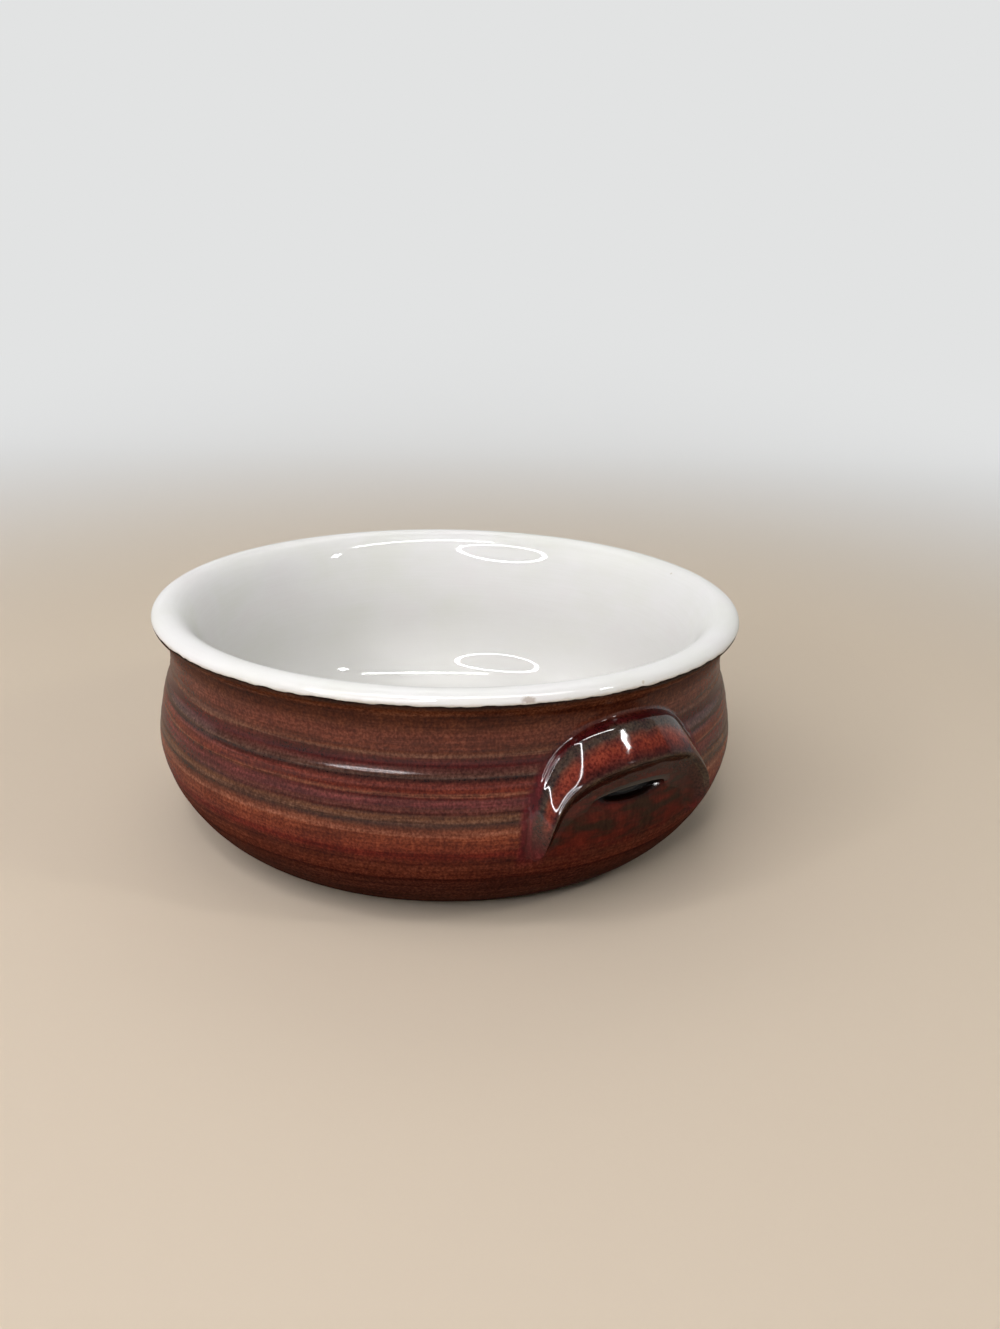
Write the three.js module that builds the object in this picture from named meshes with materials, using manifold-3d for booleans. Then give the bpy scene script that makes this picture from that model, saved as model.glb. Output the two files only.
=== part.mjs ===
// A stoneware soup crock with one crescent lug handle on its belly.
// Millimetres, +Z up. The foot stands on z = 0 round the Z axis, and the lug faces +X.
import * as THREE from "three";
import { mergeVertices } from "three/addons/utils/BufferGeometryUtils.js";
import Module from "manifold-3d";

// Clay body, measured on the bare clay
const crockHeight = 49.9; // foot to the top of the lip
const footRadius = 46.6; // flat bare foot
const bellyHeight = 21.8; // height of the widest ring
const bellyBulge = 3; // belly beyond the neck
const neckRadius = 61.6; // outside of the waist under the lip
const neckDepth = 9.9; // waist below the top of the lip
const lipOverhang = 3.1; // lip beyond the neck
const lipWidth = 5; // lip from inside to outside
const lipDepth = 3.4; // lip from top to underside
const lipUndercut = 65; // degrees that the lip curls under its widest ring
const wallThickness = 8; // at the belly
const flareWidth = 7.2; // inside flare of the lip, from the top of the lip to its foot
const flareDepth = 13.9;
const floorThickness = 6;
const floorRadius = 38; // flat part of the inside floor
const baseSquareness = 1.7; // power of the rounded base, where 2 is an ellipse
const bowlSquareness = 2; // power of the rounded inside

// Glaze coats
const glazeThickness = 0.5;
const bareFootAngle = 14; // degrees of the base curve left bare above the foot

// Crescent lug, laid out on the unrolled wall
const lugDrop = 8.7; // top of the lip to the lug's upper edge
const lugSpan = 42.4; // across the tails
const lugRise = 23; // tails to the upper edge
const lugSquareness = 2.5; // power of the arch
const faceDrop = 6.3; // upper edge to the nose
const tailWidth = 1.8; // face at the tails
const upperStandoff = 1.8; // upper edge over the lug's back
const noseStandoff = 6.5; // nose over the lug's back, before it is rounded
const noseRadius = 1.6;
const underDrop = 6.4; // nose to where the underside meets the wall
const faceBulge = 0.35; // rounding of the broad face
const tailScale = 0.2; // height of the tails against the crown
const lutingWidth = 1.2; // clay coil pressed along the upper edge
const lutingEdge = 0.3; // coil where it thins out on the wall

// Clearances
const seatGap = 0.3; // between pieces that are cut or laid against each other
const windowReach = 2; // depth that the cutters pass through the coat

// Fineness
const turnSegments = 40; // round the axis
const baseSteps = 7; // up the rounded base
const shoulderSteps = 5; // belly to neck
const neckSteps = 4; // neck to lip
const lipSteps = 4; // glaze line to the top of the lip
const flareSteps = 8; // down the inside flare
const underLipSteps = 3; // under the lip
const bowlSteps = 5; // up the rounded inside
const lugSteps = 28; // along the lug
const faceSteps = 3; // across the lug's face
const noseSteps = 5; // round the lug's nose
const coilSteps = 4; // across the coil's hollow

const bellyRadius = neckRadius + bellyBulge;
const neckHeight = crockHeight - neckDepth;
const lipRadius = neckRadius + lipOverhang - lipWidth / 2;
const lipHeight = crockHeight - lipDepth / 2;

const point = (radius, height) => new THREE.Vector2(radius, height);
const radians = THREE.MathUtils.degToRad;

// Points along a formula of 0 to 1, with the one at 0 left out
function trace(steps, formula) {
  return Array.from({ length: steps }, (_, index) => formula((index + 1) / steps));
}

// Quarter of a rounded base, from its flat at turn 0 to its widest ring at turn 1
function baseCurve(flatRadius, flatHeight, wideRadius, wideHeight, power, turn) {
  const angle = (turn * Math.PI) / 2;
  const across = Math.sin(angle) ** (2 / power);
  const along = 1 - Math.max(Math.cos(angle), 0) ** (2 / power);
  const radius = flatRadius + (wideRadius - flatRadius) * across;
  return point(radius, flatHeight + (wideHeight - flatHeight) * along);
}

// Soft curve from the belly at turn 0 to the neck at turn 1
function shoulder(turn) {
  const ease = (1 + Math.cos(Math.PI * turn)) / 2;
  const height = bellyHeight + (neckHeight - bellyHeight) * turn;
  return point(neckRadius + bellyBulge * ease, height);
}

function lipPoint(degrees) {
  const angle = radians(degrees);
  return point(lipRadius + (lipWidth / 2) * Math.cos(angle), lipHeight + (lipDepth / 2) * Math.sin(angle));
}

function bend(from, control, to) {
  return (share) => new THREE.QuadraticBezierCurve(from, control, to).getPoint(share);
}

// Clay outline up the outside, from the foot to the glaze line on the lip's widest ring
function outsidePath() {
  const bareShare = bareFootAngle / 90;
  const base = (turn) => baseCurve(footRadius, 0, bellyRadius, bellyHeight, baseSquareness, turn);
  const neck = shoulder(1);
  const underLip = lipPoint(-lipUndercut);
  const neckControl = point(neckRadius, underLip.y - (underLip.x - neckRadius));
  const bare = [base(0), base(bareShare / 2)];
  const glazed = [
    base(bareShare),
    ...trace(baseSteps, (share) => base(bareShare + (1 - bareShare) * share)),
    ...trace(shoulderSteps, shoulder),
    ...trace(neckSteps, bend(neck, neckControl, underLip)),
    ...trace(underLipSteps, (share) => lipPoint(-lipUndercut * (1 - share))),
  ];
  return { bare, glazed };
}

// Clay outline over the lip and down the inside, from the glaze line to the axis
function insidePath() {
  const innerBelly = bellyRadius - wallThickness;
  const flare = (turn) => {
    const angle = (turn * Math.PI) / 2;
    return point(lipRadius - flareWidth * Math.sin(angle), crockHeight - flareDepth * (1 - Math.cos(angle)));
  };
  const bowl = (turn) => {
    return baseCurve(floorRadius, floorThickness, innerBelly, bellyHeight, bowlSquareness, turn);
  };
  return [
    lipPoint(0),
    ...trace(lipSteps, (share) => lipPoint(90 * share)),
    ...trace(flareSteps, flare),
    bowl(1),
    ...trace(bowlSteps, (share) => bowl(1 - share)),
    point(0, floorThickness),
  ];
}

// Path moved sideways, to the right of its direction of travel
function offsetPath(path, distance) {
  const normals = path.slice(1).map((end, index) => {
    const along = end.clone().sub(path[index]).normalize();
    return point(along.y, -along.x);
  });
  return path.map((place, index) => {
    const before = normals[Math.max(index - 1, 0)];
    const after = normals[Math.min(index, normals.length - 1)];
    const middle = before.clone().add(after).normalize();
    return place.clone().addScaledVector(middle, distance / middle.dot(before));
  });
}

function turned(profile) {
  return new THREE.LatheGeometry(profile, turnSegments).rotateX(Math.PI / 2);
}

// Ring between a path and the same path moved outwards
function ringProfile(path, distance) {
  const inner = [...path].reverse();
  return [...inner, ...offsetPath(path, distance), inner[0]];
}

const outside = outsidePath();
const inside = insidePath();
const wallPath = [...outside.bare, ...outside.glazed];

// Radius of the clay wall at a height
function wallRadius(height) {
  const index = Math.max(wallPath.findIndex((place) => place.y >= height), 1);
  const low = wallPath[index - 1];
  const high = wallPath[index];
  return THREE.MathUtils.mapLinear(height, low.y, high.y, low.x, high.x);
}

// Stations of the arch from tail to tail: upper edge, nose edge and height share
function lugFrames() {
  const tailHeight = crockHeight - lugDrop - lugRise;
  return Array.from({ length: lugSteps + 1 }, (_, index) => {
    const across = Math.sin((index / lugSteps - 0.5) * Math.PI);
    const rise = (1 - Math.abs(across) ** lugSquareness) ** (1 / lugSquareness);
    const upper = point((lugSpan / 2) * across, tailHeight + lugRise * rise);
    const nose = point((lugSpan / 2 - tailWidth) * across, tailHeight + (lugRise - faceDrop) * rise);
    const inward = nose.clone().sub(upper);
    const scale = tailScale + (1 - tailScale) * rise;
    return { upper, inward: inward.clone().normalize(), faceWidth: inward.length(), scale };
  });
}

// Place on the lug from the distance below its upper edge and the distance off the wall
function lugPlace(frame, place) {
  const onWall = frame.upper.clone().addScaledVector(frame.inward, place.x);
  const angle = onWall.x / bellyRadius;
  const radius = wallRadius(onWall.y) + place.y;
  return new THREE.Vector3(radius * Math.cos(angle), radius * Math.sin(angle), onWall.y);
}

// Exposed outline of the clay lug at a station: broad face, rounded nose and underside
function exposedOutline(frame) {
  const start = point(0, seatGap + upperStandoff * frame.scale);
  const corner = point(frame.faceWidth, seatGap + noseStandoff * frame.scale);
  const root = point(frame.faceWidth + underDrop * frame.scale, seatGap);
  const upFace = start.clone().sub(corner).normalize();
  const downUnder = root.clone().sub(corner).normalize();
  const faceOut = point(upFace.y, -upFace.x);
  const underOut = point(-downUnder.y, downUnder.x);
  const radius = noseRadius * frame.scale;
  const faceEnd = corner.clone().addScaledVector(upFace, radius / Math.tan(upFace.angleTo(downUnder) / 2));
  const face = trace(faceSteps, (share) => {
    const bulge = faceBulge * frame.scale * Math.sin(Math.PI * share);
    return start.clone().lerp(faceEnd, share).addScaledVector(faceOut, bulge);
  });
  const centre = faceEnd.clone().addScaledVector(faceOut, -radius);
  const nose = trace(noseSteps, (share) => {
    const angle = THREE.MathUtils.lerp(faceOut.angle(), underOut.angle(), share);
    return centre.clone().add(point(radius * Math.cos(angle), radius * Math.sin(angle)));
  });
  return [start, ...face, ...nose, root];
}

function lugSection(frame) {
  return [point(0, seatGap), ...exposedOutline(frame)];
}

// Skin of glaze round the exposed outline
function coatSection(frame) {
  const outline = exposedOutline(frame);
  const outer = offsetPath(outline, -(seatGap + glazeThickness));
  const inner = offsetPath(outline, -seatGap);
  return [...outer, ...inner.reverse()];
}

// Coil that fills the corner between the wall and the upper edge
function lutingSection(frame) {
  const top = seatGap + upperStandoff * frame.scale;
  const low = seatGap + lutingEdge * frame.scale;
  const width = lutingWidth - seatGap;
  const hollow = trace(coilSteps, (share) => {
    const height = low + (top - low) * (1 - Math.sqrt(1 - share ** 2));
    return point(-lutingWidth + width * share, height);
  });
  return [point(-lutingWidth, seatGap), point(-lutingWidth, low), ...hollow, point(-seatGap, seatGap)];
}

// Opening in the outer coat where the lug and its coil meet the clay
function windowSection(frame) {
  const near = -lutingWidth - seatGap;
  const far = exposedOutline(frame).at(-1).x + seatGap;
  const low = -windowReach;
  return [point(near, low), point(near, windowReach), point(far, windowReach), point(far, low)];
}

// Triangles of a flat end, wound like its outline
function capTriangles(section) {
  const clockwise = THREE.ShapeUtils.isClockWise(section);
  return THREE.ShapeUtils.triangulateShape(section, []).map((corners) => {
    const places = corners.map((corner) => section[corner]);
    return THREE.ShapeUtils.isClockWise(places) === clockwise ? corners : corners.reverse();
  });
}

// Solid through one closed section at each station
function loft(frames, sectionAt) {
  const sections = frames.map(sectionAt);
  const count = sections[0].length;
  const places = frames.flatMap((frame, row) => sections[row].map((place) => lugPlace(frame, place)));
  const corners = [];
  for (let row = 0; row < frames.length - 1; row += 1) {
    for (let column = 0; column < count; column += 1) {
      const here = row * count + column;
      const beside = row * count + ((column + 1) % count);
      corners.push(here, beside, beside + count, here, beside + count, here + count);
    }
  }
  const last = (frames.length - 1) * count;
  capTriangles(sections[0]).forEach(([a, b, c]) => corners.push(a, c, b));
  capTriangles(sections.at(-1)).forEach(([a, b, c]) => corners.push(last + a, last + b, last + c));
  const geometry = new THREE.BufferGeometry().setFromPoints(places);
  geometry.setIndex(corners);
  return geometry;
}

const wasm = await Module();
wasm.setup();

function toSolid(geometry) {
  const bare = geometry.clone();
  bare.deleteAttribute("normal");
  bare.deleteAttribute("uv");
  const merged = mergeVertices(bare);
  const vertProperties = new Float32Array(merged.attributes.position.array);
  const triVerts = new Uint32Array(merged.index.array);
  return new wasm.Manifold(new wasm.Mesh({ numProp: 3, vertProperties, triVerts }));
}

function toGeometry(solid) {
  const { numProp, vertProperties, triVerts } = solid.getMesh();
  const geometry = new THREE.BufferGeometry();
  const places = Array.from({ length: vertProperties.length / numProp }, (_, index) => {
    return new THREE.Vector3().fromArray(vertProperties, index * numProp);
  });
  geometry.setFromPoints(places);
  geometry.setIndex(Array.from(triVerts));
  return geometry;
}

const frames = lugFrames();

// The same stations with each tail lengthened by the clearance
function lengthened() {
  const lower = (frame) => ({ ...frame, upper: frame.upper.clone().sub(point(0, seatGap)) });
  return [lower(frames[0]), ...frames, lower(frames.at(-1))];
}

function outerGlaze() {
  const coat = toSolid(turned(ringProfile(outside.glazed, glazeThickness)));
  return toGeometry(coat.subtract(toSolid(loft(lengthened(), windowSection))));
}

function lugGlaze() {
  const skin = toSolid(loft(frames, coatSection));
  const innerRadius = bellyRadius - wallThickness;
  const coated = offsetPath(outside.glazed, glazeThickness + seatGap);
  const coreTop = point(innerRadius, coated.at(-1).y);
  const coreFoot = point(innerRadius, coated[0].y);
  const wall = toSolid(turned([coreTop, coreFoot, ...coated, coreTop]));
  return toGeometry(skin.subtract(wall));
}

function finish(color, roughness) {
  return new THREE.MeshStandardMaterial({ color, roughness, metalness: 0 });
}

function piece(name, geometry, material) {
  const mesh = new THREE.Mesh(geometry, material);
  mesh.name = name;
  return mesh;
}

const axisFoot = point(0, 0);
const clayProfile = [axisFoot, ...wallPath, ...inside.slice(1)];
const linerProfile = [...inside].reverse().concat(offsetPath(inside, glazeThickness));

const crock = new THREE.Group();
crock.add(
  piece("crock_body", turned(clayProfile), finish(0xb89f82, 0.85)),
  piece("liner_glaze", turned(linerProfile), finish(0xe9e8e4, 0.12)),
  piece("outer_glaze", outerGlaze(), finish(0x5a2a20, 0.15)),
  piece("lug_handle", loft(frames, lugSection), finish(0xb89f82, 0.85)),
  piece("luting_coil", loft(frames, lutingSection), finish(0x6b1e24, 0.3)),
  piece("lug_glaze", lugGlaze(), finish(0x6e3022, 0.15)),
);

export default crock;
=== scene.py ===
import math

import bpy
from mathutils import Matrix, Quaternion, Vector


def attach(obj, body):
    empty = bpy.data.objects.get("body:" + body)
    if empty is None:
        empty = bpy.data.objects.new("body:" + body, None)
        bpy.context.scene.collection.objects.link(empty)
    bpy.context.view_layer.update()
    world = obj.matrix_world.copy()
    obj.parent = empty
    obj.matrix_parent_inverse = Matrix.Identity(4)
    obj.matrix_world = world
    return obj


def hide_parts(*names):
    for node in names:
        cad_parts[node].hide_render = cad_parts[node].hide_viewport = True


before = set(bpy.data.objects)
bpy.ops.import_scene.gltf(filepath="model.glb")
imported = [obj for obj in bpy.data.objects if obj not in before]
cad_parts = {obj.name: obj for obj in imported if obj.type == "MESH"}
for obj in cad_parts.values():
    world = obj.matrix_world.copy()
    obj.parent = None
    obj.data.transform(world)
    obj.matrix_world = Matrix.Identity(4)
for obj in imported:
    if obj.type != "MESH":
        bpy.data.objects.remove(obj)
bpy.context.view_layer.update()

mm = 0.001  # sizes are in millimetres where no note says metres

# Camera, set to the angle of the photograph
viewpoint = {
    "place": (211.39, -137.28, 122.72),
    "turn": (70.394, -1.375, 54.740),  # degrees
    "lens": 31.15,
    "sensor": 36,
    "nearest": 0.01,  # metres
    "farthest": 50,
}


def setCamera():
    bpy.ops.object.camera_add(
        location=[v * mm for v in viewpoint["place"]],
        rotation=[math.radians(v) for v in viewpoint["turn"]],
    )
    camera = bpy.context.object
    camera.name = "viewCamera"
    camera.data.lens = viewpoint["lens"]
    camera.data.sensor_width = viewpoint["sensor"]
    camera.data.clip_start = viewpoint["nearest"]
    camera.data.clip_end = viewpoint["farthest"]
    bpy.context.scene.camera = camera


bpy.ops.object.select_all(action="DESELECT")
setCamera()
print("camera set")

# Modelling helpers
mergeWithin = 0.004


def easeBetween(low, high, value):
    share = min(max((value - low) / (high - low), 0), 1)
    return share * share * (3 - 2 * share)


def bump(height, centre, width):
    return math.exp(-(((height - centre) / width) ** 2))


def closeSkin():
    # seams and poles merged, faces turned outwards
    bpy.ops.object.mode_set(mode="EDIT")
    bpy.ops.mesh.select_all(action="SELECT")
    bpy.ops.mesh.remove_doubles(threshold=mergeWithin * mm)
    bpy.ops.mesh.normals_make_consistent(inside=False)
    bpy.ops.object.mode_set(mode="OBJECT")


def turnOnWheel(name, outline, steps):
    # one point pulled along the outline, then spun round the axis
    bpy.ops.object.select_all(action="DESELECT")
    bpy.ops.mesh.primitive_plane_add(size=2 * mm, calc_uvs=False)
    piece = bpy.context.object
    piece.name = piece.data.name = name
    bpy.ops.object.mode_set(mode="EDIT")
    bpy.ops.mesh.select_all(action="SELECT")
    bpy.ops.mesh.merge(type="CENTER")
    bpy.ops.transform.translate(value=(outline[0][0] * mm, 0, outline[0][1] * mm))
    for here, there in zip(outline, outline[1:]):
        step = ((there[0] - here[0]) * mm, 0, (there[1] - here[1]) * mm)
        bpy.ops.mesh.extrude_vertices_move(TRANSFORM_OT_translate={"value": step})
    bpy.ops.mesh.select_all(action="SELECT")
    bpy.ops.mesh.spin(steps=steps, angle=math.tau, center=(0, 0, 0), axis=(0, 0, 1))
    closeSkin()
    bpy.ops.object.shade_smooth()
    return piece


def unevenSurface(piece, size, amount, direction="NORMAL", picked=None, middle=0.0):
    # soft hand-made unevenness, held to the picked points where given
    cloud = bpy.data.textures.new("unevenCloud", type="CLOUDS")
    cloud.noise_scale = size * mm
    cloud.noise_depth = 3
    bpy.context.view_layer.objects.active = piece
    bpy.ops.object.modifier_add(type="DISPLACE")
    uneven = piece.modifiers[-1]
    uneven.texture = cloud
    uneven.texture_coords = "LOCAL"
    uneven.direction = direction
    uneven.mid_level = middle
    uneven.strength = amount * mm
    if picked:
        group = piece.vertex_groups.new(name="picked")
        for index, weight in picked.items():
            group.add([index], weight, "REPLACE")
        uneven.vertex_group = "picked"
    bpy.ops.object.modifier_apply(modifier=uneven.name)
    if picked:
        piece.vertex_groups.clear()
    bpy.data.textures.remove(cloud)


# Clay lines of the thrown crock
crock = {
    "footRadius": 46.6,
    "bellyRadius": 64.6,
    "bellyHeight": 21.8,
    "baseSquareness": 1.7,
    "neckRadius": 61.6,
    "neckHeight": 40.0,
    "lipRadius": 62.2,
    "lipHeight": 48.2,
    "lipHalfWidth": 2.5,
    "lipHalfDepth": 1.7,
    "lipUndercut": 65,  # degrees
    "flareRadius": 55.0,  # the inside at the foot of the lip's flare
    "flareHeight": 36.0,
    "bellyWall": 8.0,
    "floor": 6.0,
    "floorRadius": 38.0,
    "floorSquareness": 2,
    "bareTurn": 14,  # degrees of the base curve left bare
    "outsideSteps": (56, 36, 10, 5),  # base, shoulder, neck, lip
    "insideSteps": (12, 32, 10, 22, 8),  # lip, flare, wall, base, floor
    "turnSteps": 128,
}


def baseCurve(flat, wide, power, degrees):
    angle = math.radians(degrees)
    across = math.sin(angle) ** (2 / power)
    along = 1 - max(math.cos(angle), 0) ** (2 / power)
    return flat[0] + (wide[0] - flat[0]) * across, flat[1] + (wide[1] - flat[1]) * along


def outsideBase(degrees):
    belly = (crock["bellyRadius"], crock["bellyHeight"])
    return baseCurve((crock["footRadius"], 0), belly, crock["baseSquareness"], degrees)


def insideBase(degrees):
    floorEdge = (crock["floorRadius"], crock["floor"])
    belly = (crock["bellyRadius"] - crock["bellyWall"], crock["bellyHeight"])
    return baseCurve(floorEdge, belly, crock["floorSquareness"], degrees)


def shoulder(share):
    bulge = crock["bellyRadius"] - crock["neckRadius"]
    height = crock["bellyHeight"] + (crock["neckHeight"] - crock["bellyHeight"]) * share
    return crock["neckRadius"] + bulge * (1 + math.cos(math.pi * share)) / 2, height


def lipPoint(degrees):
    angle = math.radians(degrees)
    radius = crock["lipRadius"] + crock["lipHalfWidth"] * math.cos(angle)
    return radius, crock["lipHeight"] + crock["lipHalfDepth"] * math.sin(angle)


def bendLine(start, middle, end, steps):
    line = []
    for index in range(1, steps + 1):
        t = index / steps
        first, second, third = (1 - t) ** 2, 2 * t * (1 - t), t * t
        line.append(tuple(first * a + second * b + third * c for a, b, c in zip(start, middle, end)))
    return line


def outsideLine(fine):
    # up the outside, from the bare foot to the widest ring of the lip
    base, wall, neck, lip = [steps * fine for steps in crock["outsideSteps"]]
    under = lipPoint(-crock["lipUndercut"])
    corner = (crock["neckRadius"], under[1] - (under[0] - crock["neckRadius"]))
    bare = crock["bareTurn"]
    line = [outsideBase(bare + (90 - bare) * i / base) for i in range(base + 1)]
    line += [shoulder(i / wall) for i in range(1, wall + 1)]
    line += bendLine(shoulder(1), corner, under, neck)
    line += [lipPoint(-crock["lipUndercut"] * (1 - i / lip)) for i in range(1, lip + 1)]
    return line


def insideLine():
    # over the lip and down the inside to the axis
    lip, flare, wall, base, floor = crock["insideSteps"]
    top = lipPoint(90)
    neck = (crock["flareRadius"], crock["flareHeight"])
    belly = insideBase(90)
    line = [lipPoint(90 * i / lip) for i in range(lip + 1)]
    for index in range(1, flare + 1):  # the lip flares over to the inside in one soft curve
        angle = math.radians(90 * index / flare)
        radius = top[0] + (neck[0] - top[0]) * math.sin(angle)
        line.append((radius, neck[1] + (top[1] - neck[1]) * math.cos(angle)))
    for index in range(1, wall + 1):
        radius = neck[0] + (belly[0] - neck[0]) * easeBetween(0, wall, index)
        line.append((radius, neck[1] + (belly[1] - neck[1]) * index / wall))
    line += [insideBase(90 * (1 - i / base)) for i in range(1, base + 1)]
    line += [(crock["floorRadius"] * (1 - i / floor), crock["floor"]) for i in range(1, floor + 1)]
    return line


def offsetLine(line, distance):
    # the line moved to its right, by a distance or by a function of height
    moved = []
    for index, (r, z) in enumerate(line):
        before = line[max(index - 1, 0)]
        after = line[min(index + 1, len(line) - 1)]
        dr, dz = after[0] - before[0], after[1] - before[1]
        length = math.hypot(dr, dz)
        reach = distance(z) if callable(distance) else distance
        moved.append((r + dz / length * reach, z - dr / length * reach))
    return moved


clayWall = outsideLine(1)


def wallRadius(height):
    for low, high in zip(clayWall, clayWall[1:]):
        if height <= high[1]:
            share = max((height - low[1]) / max(high[1] - low[1], 1e-6), 0)
            return low[0] + (high[0] - low[0]) * share
    return clayWall[-1][0]


# Clay body, bare under the foot
foot = {
    "edge": 0.5,  # the flat stops this far inside the foot's outline
    "rounding": [(-0.15, 0.05), (0.1, 0.16)],  # out from the foot's outline, up
    "roundTurn": 7,  # degrees of the base curve
    "ringDepth": 0.1,
    "ringGap": 3.1,
    "ringFree": 2,  # rim of the flat without rings
    "ringFade": 4,
    "steps": 46,
}


def throwBody():
    under = []
    for index in range(foot["steps"] + 1):
        radius = (crock["footRadius"] - foot["edge"]) * index / foot["steps"]
        turned = 0.5 + 0.5 * math.sin(math.tau * radius / foot["ringGap"])
        fade = easeBetween(0, foot["ringFade"], crock["footRadius"] - foot["ringFree"] - radius)
        under.append((radius, foot["ringDepth"] * turned * fade))
    rise = [(crock["footRadius"] + out, up) for out, up in foot["rounding"]]
    rise.append(outsideBase(foot["roundTurn"]))
    outline = under + rise + clayWall[::3] + [clayWall[-1]] + insideLine()[1:]
    return turnOnWheel("crockBody", outline, crock["turnSteps"])


crockBody = throwBody()
print("clay body thrown,", len(crockBody.data.polygons), "faces")

# Banded coat on the outside, with its throwing rings
outer = {
    "thickness": 0.47,
    "backing": 0.5,  # how far the coat is sunk into the clay
    "lapThinning": 0.16,  # thinner where the white coat laps over it, between these heights
    "lapFrom": 46.8,
    "lapTo": 48.2,
    "overLip": (6, 12, 20),  # degrees past the widest ring, hidden by the white coat
    "footRoll": [(-0.62, 0.14), (-0.35, -0.02)],  # out from the lowest point, up
    "neckInset": 0.28,  # the neck is drawn in above the shoulder
    "stepFoot": 33.2,
    "stepTop": 35.6,
    "insetFade": 40.5,  # and comes back to its line between these heights
    "insetEnd": 46,
    "shoulderRise": 0.18,
    "riseHeight": 32.2,
    "riseSpread": 2.6,
    "rings": [  # height, width, depth
        (44.6, 0.9, -0.06), (42.1, 0.5, 0.04), (40.2, 0.6, -0.05), (38.3, 0.5, -0.1), (37.3, 0.4, 0.05),
        (32.9, 0.45, -0.09), (30.4, 0.35, 0.07), (29.8, 0.3, -0.05), (27.2, 0.35, -0.1), (25.0, 0.7, -0.07),
        (23.0, 0.5, 0.02), (19.2, 0.7, -0.05), (16.5, 0.5, -0.1), (14.0, 0.8, 0.03), (12.0, 0.5, -0.08),
        (9.4, 0.8, -0.04), (6.8, 0.6, -0.05),
    ],
    "ripple": 0.012,
    "ripplePitch": (5.1, 1.7),
    "unevenSize": 16,
    "uneven": 0.05,
    "turnSteps": 256,
}


def shoulderStep(height):
    # drawn-in neck above the shoulder line
    high = easeBetween(outer["stepFoot"], outer["stepTop"], height)
    back = easeBetween(outer["insetFade"], outer["insetEnd"], height)
    swell = outer["shoulderRise"] * bump(height, outer["riseHeight"], outer["riseSpread"])
    return swell * (1 - high) - outer["neckInset"] * high * (1 - back)


def ringRelief(height):
    relief = sum(depth * bump(height, centre, width) for centre, width, depth in outer["rings"])
    quick, slow = outer["ripplePitch"]
    return relief + outer["ripple"] * math.sin(height * quick) * math.sin(height * slow)


def outerReach(height):
    lap = 1 - outer["lapThinning"] * easeBetween(outer["lapFrom"], outer["lapTo"], height)
    return outer["thickness"] * lap + shoulderStep(height) + ringRelief(height)


# Finger dent in the wall under the lug; its colour is painted shade, near-black
dent = {
    "height": 27.0,
    "side": 0.5,
    "halfWidth": 10.4,
    "halfHeight": 2.3,
    "depth": 1.6,
    "flatShare": 0.45,  # its level middle
    "skin": 2.5,  # only points this near the belly's radius are pressed
    "clayMargin": 1.6,  # the clay behind the coat gives way further
    "clayDepth": 2.2,
    # near-black colour of the dent: painted shade
    "tone": (10, 4, 3),
}


def pressDent(piece, margin, depth):
    for vertex in piece.data.vertices:
        radius = math.hypot(vertex.co.x, vertex.co.y) / mm
        if vertex.co.x > 0 and radius > crock["bellyRadius"] - dent["skin"]:
            side = math.atan2(vertex.co.y, vertex.co.x) * crock["bellyRadius"] - dent["side"]
            lift = vertex.co.z / mm - dent["height"]
            share = math.hypot(side / (dent["halfWidth"] + margin), lift / (dent["halfHeight"] + margin))
            inset = depth * (1 - easeBetween(dent["flatShare"], 1, share))
            vertex.co.x *= 1 - inset / radius
            vertex.co.y *= 1 - inset / radius


def glazeOutside():
    clay = outsideLine(2) + [lipPoint(degrees) for degrees in outer["overLip"]]
    front = offsetLine(clay, outerReach)
    roll = [(front[0][0] + out, front[0][1] + up) for out, up in outer["footRoll"]]
    back = offsetLine(clay[::8] + [clay[-1]], -outer["backing"])
    outline = roll + front + back[::-1]
    coat = turnOnWheel("outerCoat", outline + outline[:1], outer["turnSteps"])
    pressDent(coat, 0, dent["depth"])
    unevenSurface(coat, outer["unevenSize"], -outer["uneven"])
    return coat


outerCoat = glazeOutside()
pressDent(crockBody, dent["clayMargin"], dent["clayDepth"])
print("outer coat glazed,", len(outerCoat.data.polygons), "faces")

# White coat inside and over the lip
liner = {
    "thickness": 0.44,
    "backing": 0.5,
    "lowerEdge": [(-0.5, 48.12), (-0.28, 48.0), (-0.1, 48.04), (-0.03, 48.14)],  # out from the lip, height
    "edgeWave": 0.6,  # the lower edge wavers, less and less between these heights
    "waveSize": 2.8,
    "waveFrom": 48.1,
    "waveTo": 49.1,
    "waveRadius": 64,
    "ripple": 0.012,  # faint rings on the floor
    "ripplePitch": 1.3,
    "rippleRadius": 36,
    "turnSteps": 600,
}


def glazeInside():
    clay = insideLine()
    front = offsetLine(clay, liner["thickness"])
    edge = [(front[0][0] + out, height) for out, height in liner["lowerEdge"]]
    for index, (radius, height) in enumerate(front):
        if radius < liner["rippleRadius"]:
            ripple = liner["ripple"] * math.sin(radius * liner["ripplePitch"])
            front[index] = (radius, height + ripple)
    front[-1] = (0, front[-1][1])
    back = offsetLine(clay[1::3], -liner["backing"])
    back.append((0, back[-1][1]))
    outline = edge + front + back[::-1]
    coat = turnOnWheel("linerCoat", outline + outline[:1], liner["turnSteps"])
    picked = {}
    for vertex in coat.data.vertices:
        height = vertex.co.z / mm
        if height < liner["waveTo"] and math.hypot(vertex.co.x, vertex.co.y) / mm > liner["waveRadius"]:
            picked[vertex.index] = 1 - easeBetween(liner["waveFrom"], liner["waveTo"], height)
    unevenSurface(coat, liner["waveSize"], liner["edgeWave"], "Z", picked, 0.5)
    return coat


linerCoat = glazeInside()
print("liner coat glazed,", len(linerCoat.data.polygons), "faces")

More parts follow.
